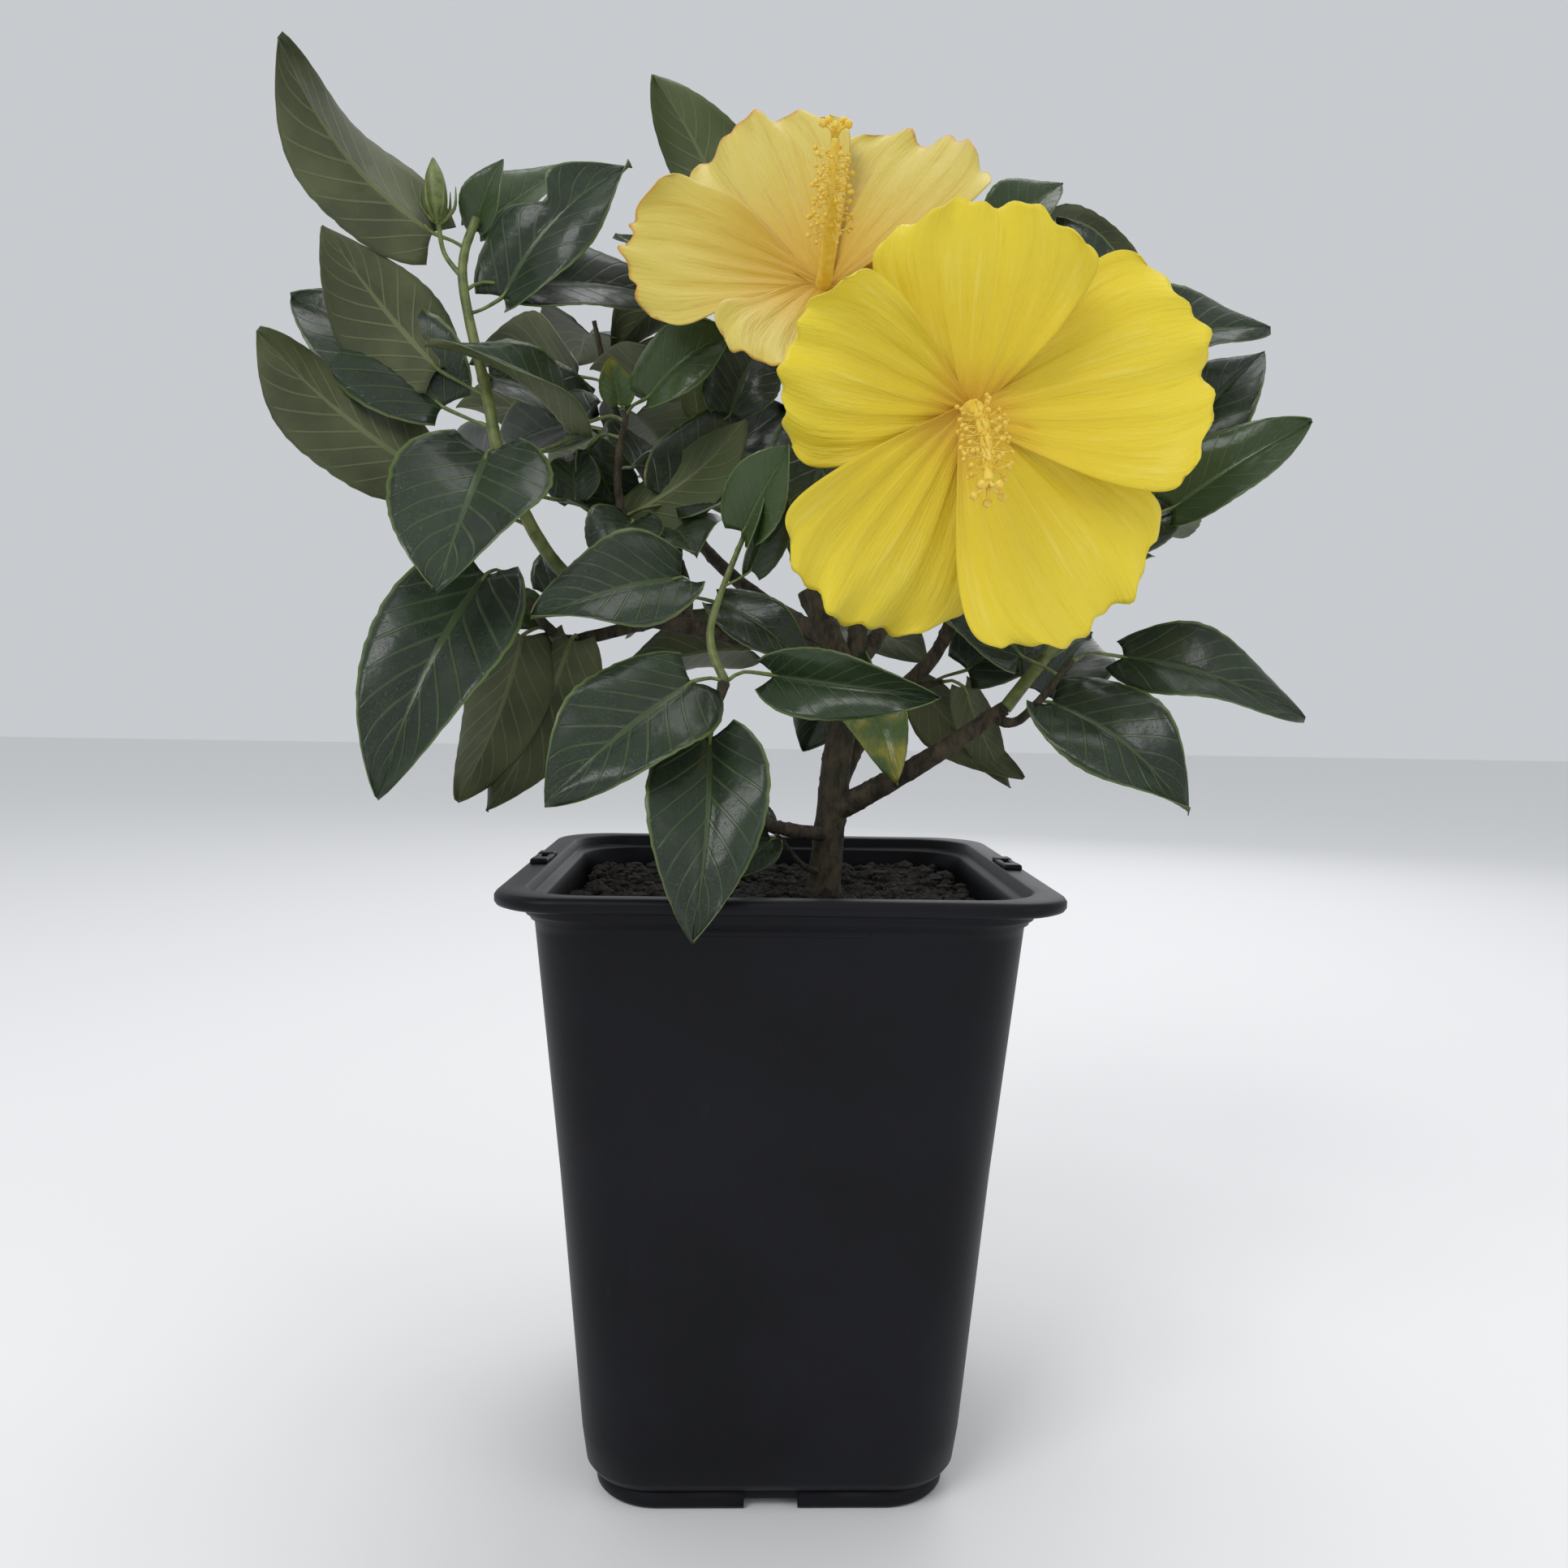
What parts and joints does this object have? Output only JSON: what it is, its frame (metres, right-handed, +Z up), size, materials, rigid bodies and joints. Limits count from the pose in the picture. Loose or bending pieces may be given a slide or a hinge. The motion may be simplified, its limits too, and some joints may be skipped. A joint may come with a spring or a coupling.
{
  "type": "potted hibiscus shrub",
  "caption": "Small yellow-flowered hibiscus shrub with glossy leaves on a short woody trunk, growing in a tapered square black plastic nursery pot.",
  "frame": {"origin": "the middle of the pot's flat underside, where it stands", "axes": "+Z up, -Y is the front that the larger bloom faces, +X to the right seen from the front"},
  "size_m": [0.3891, 0.2785, 0.5551],
  "materials": {
    "pot_plastic": "satin moulded",
    "compost": "crumbly and rough",
    "bark": "rough bark with pores",
    "green_stem": "smooth young stem",
    "leaves": "glossy above, matte below",
    "petals": "soft satin"
  },
  "bodies": {
    "root": {"pot": "pot_plastic", "soil": "compost", "trunk": "bark", "bough_right": "bark", "bough_right_tip": "green_stem", "bough_bloom": "bark", "bough_centre": "bark", "bough_left": "bark", "bough_left_low": "bark", "stem_upper_left": "green_stem", "stem_mid": "green_stem", "stem_back": "green_stem", "bough_front": "bark", "stem_front": "green_stem", "bough_back_right": "bark", "bough_back_left": "bark", "bloom_front": "petals", "bloom_back": "petals", "foliage_left": "leaves", "foliage_top_left": "leaves", "foliage_left_low": "leaves", "foliage_mid": "leaves", "foliage_centre": "leaves", "foliage_crown": "leaves", "foliage_inner": "leaves", "foliage_front_low": "leaves", "foliage_front": "leaves", "foliage_fork": "leaves", "foliage_right_low": "leaves", "foliage_low_back": "leaves", "foliage_right": "leaves", "foliage_back_right": "leaves", "foliage_back_left": "leaves", "foliage_back_low": "leaves", "foliage_foot": "leaves"}
  },
  "joints": []
}
